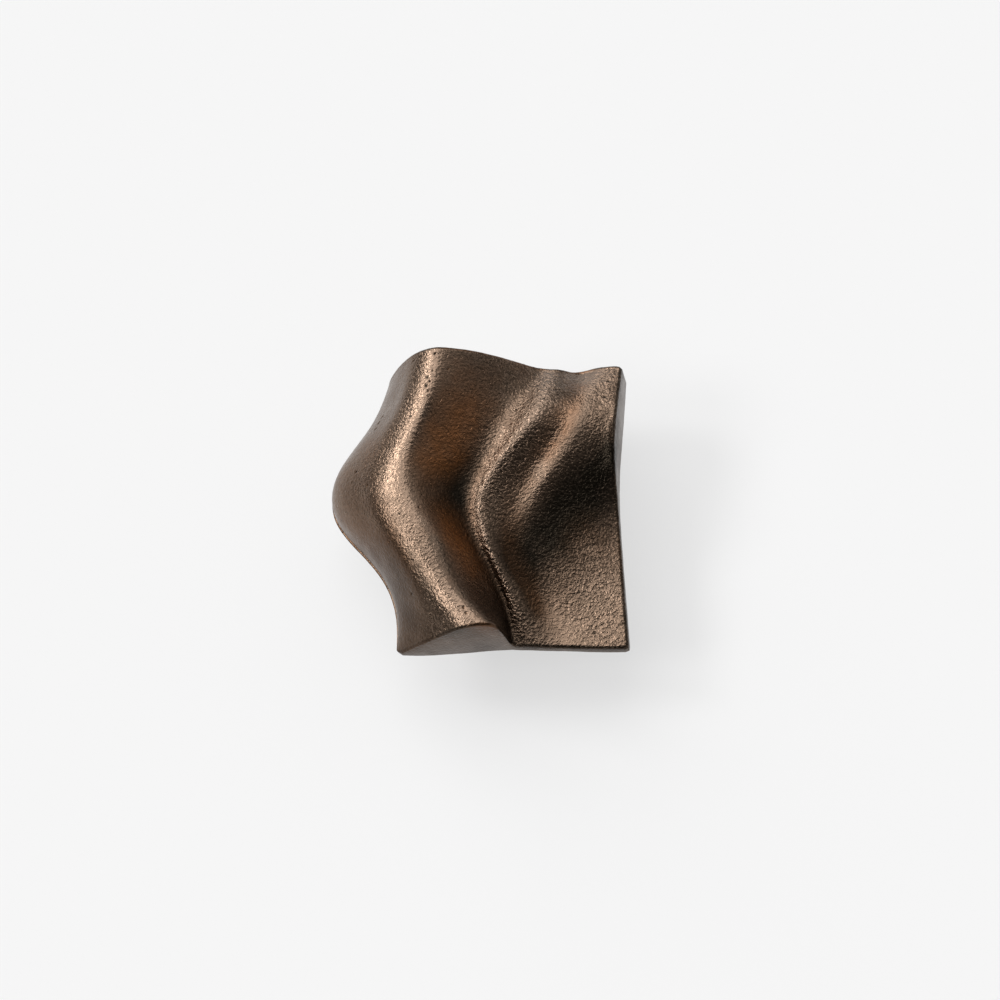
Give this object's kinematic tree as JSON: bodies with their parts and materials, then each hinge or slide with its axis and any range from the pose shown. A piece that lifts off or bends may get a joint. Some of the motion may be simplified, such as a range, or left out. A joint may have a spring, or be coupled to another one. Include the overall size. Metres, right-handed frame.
{
  "type": "cabinet knob",
  "caption": "Square cast bronze cabinet knob with a draped, folded front, a flat back and a round stem with a blind screw hole.",
  "frame": {"origin": "middle of the stem's foot, where the knob stands on the door", "axes": "+Z away from the door, through the folded front; +X to the knob's right seen from the front; +Y to its top"},
  "size_m": [0.039, 0.0388, 0.0227],
  "materials": {
    "bronze": "satin dark bronze with a fine cast grain"
  },
  "bodies": {
    "root": {"knob_body": "bronze"}
  },
  "joints": []
}
